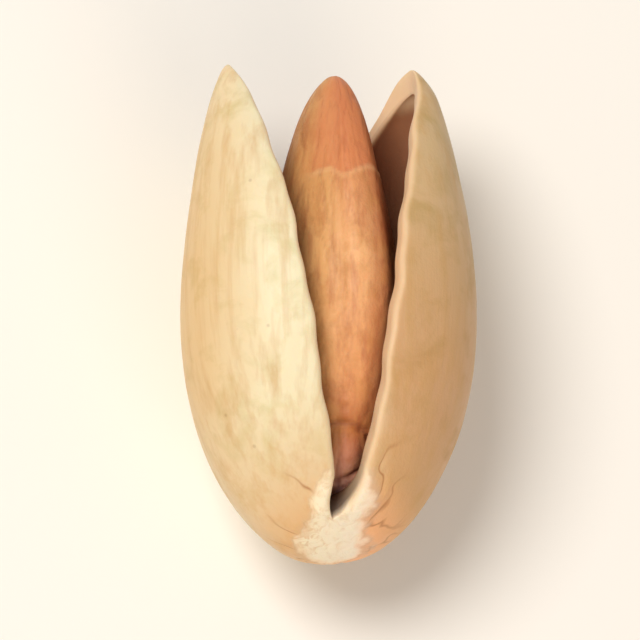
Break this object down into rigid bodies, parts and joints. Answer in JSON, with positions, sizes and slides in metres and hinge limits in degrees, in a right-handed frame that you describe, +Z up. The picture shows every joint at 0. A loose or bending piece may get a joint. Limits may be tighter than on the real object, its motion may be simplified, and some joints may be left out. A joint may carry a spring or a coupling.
{
  "type": "pistachio in shell",
  "caption": "Long oval pistachio nut in its hard cream shell, split open along one side with the brown-skinned kernel showing.",
  "frame": {"origin": "on the ground under the middle of the nut's outer box, as it lies with its split up", "axes": "+Y from the stalk end to the tips, +X to the right half seen from above with the tips away, +Z up"},
  "size_m": [0.0118, 0.02, 0.0111],
  "materials": {
    "shell": "matte woody nutshell, cream with a faint tan stain",
    "kernel_skin": "thin dry papery skin with a soft satin sheen"
  },
  "bodies": {
    "root": {"shell": "shell", "kernel": "kernel_skin"}
  },
  "joints": []
}
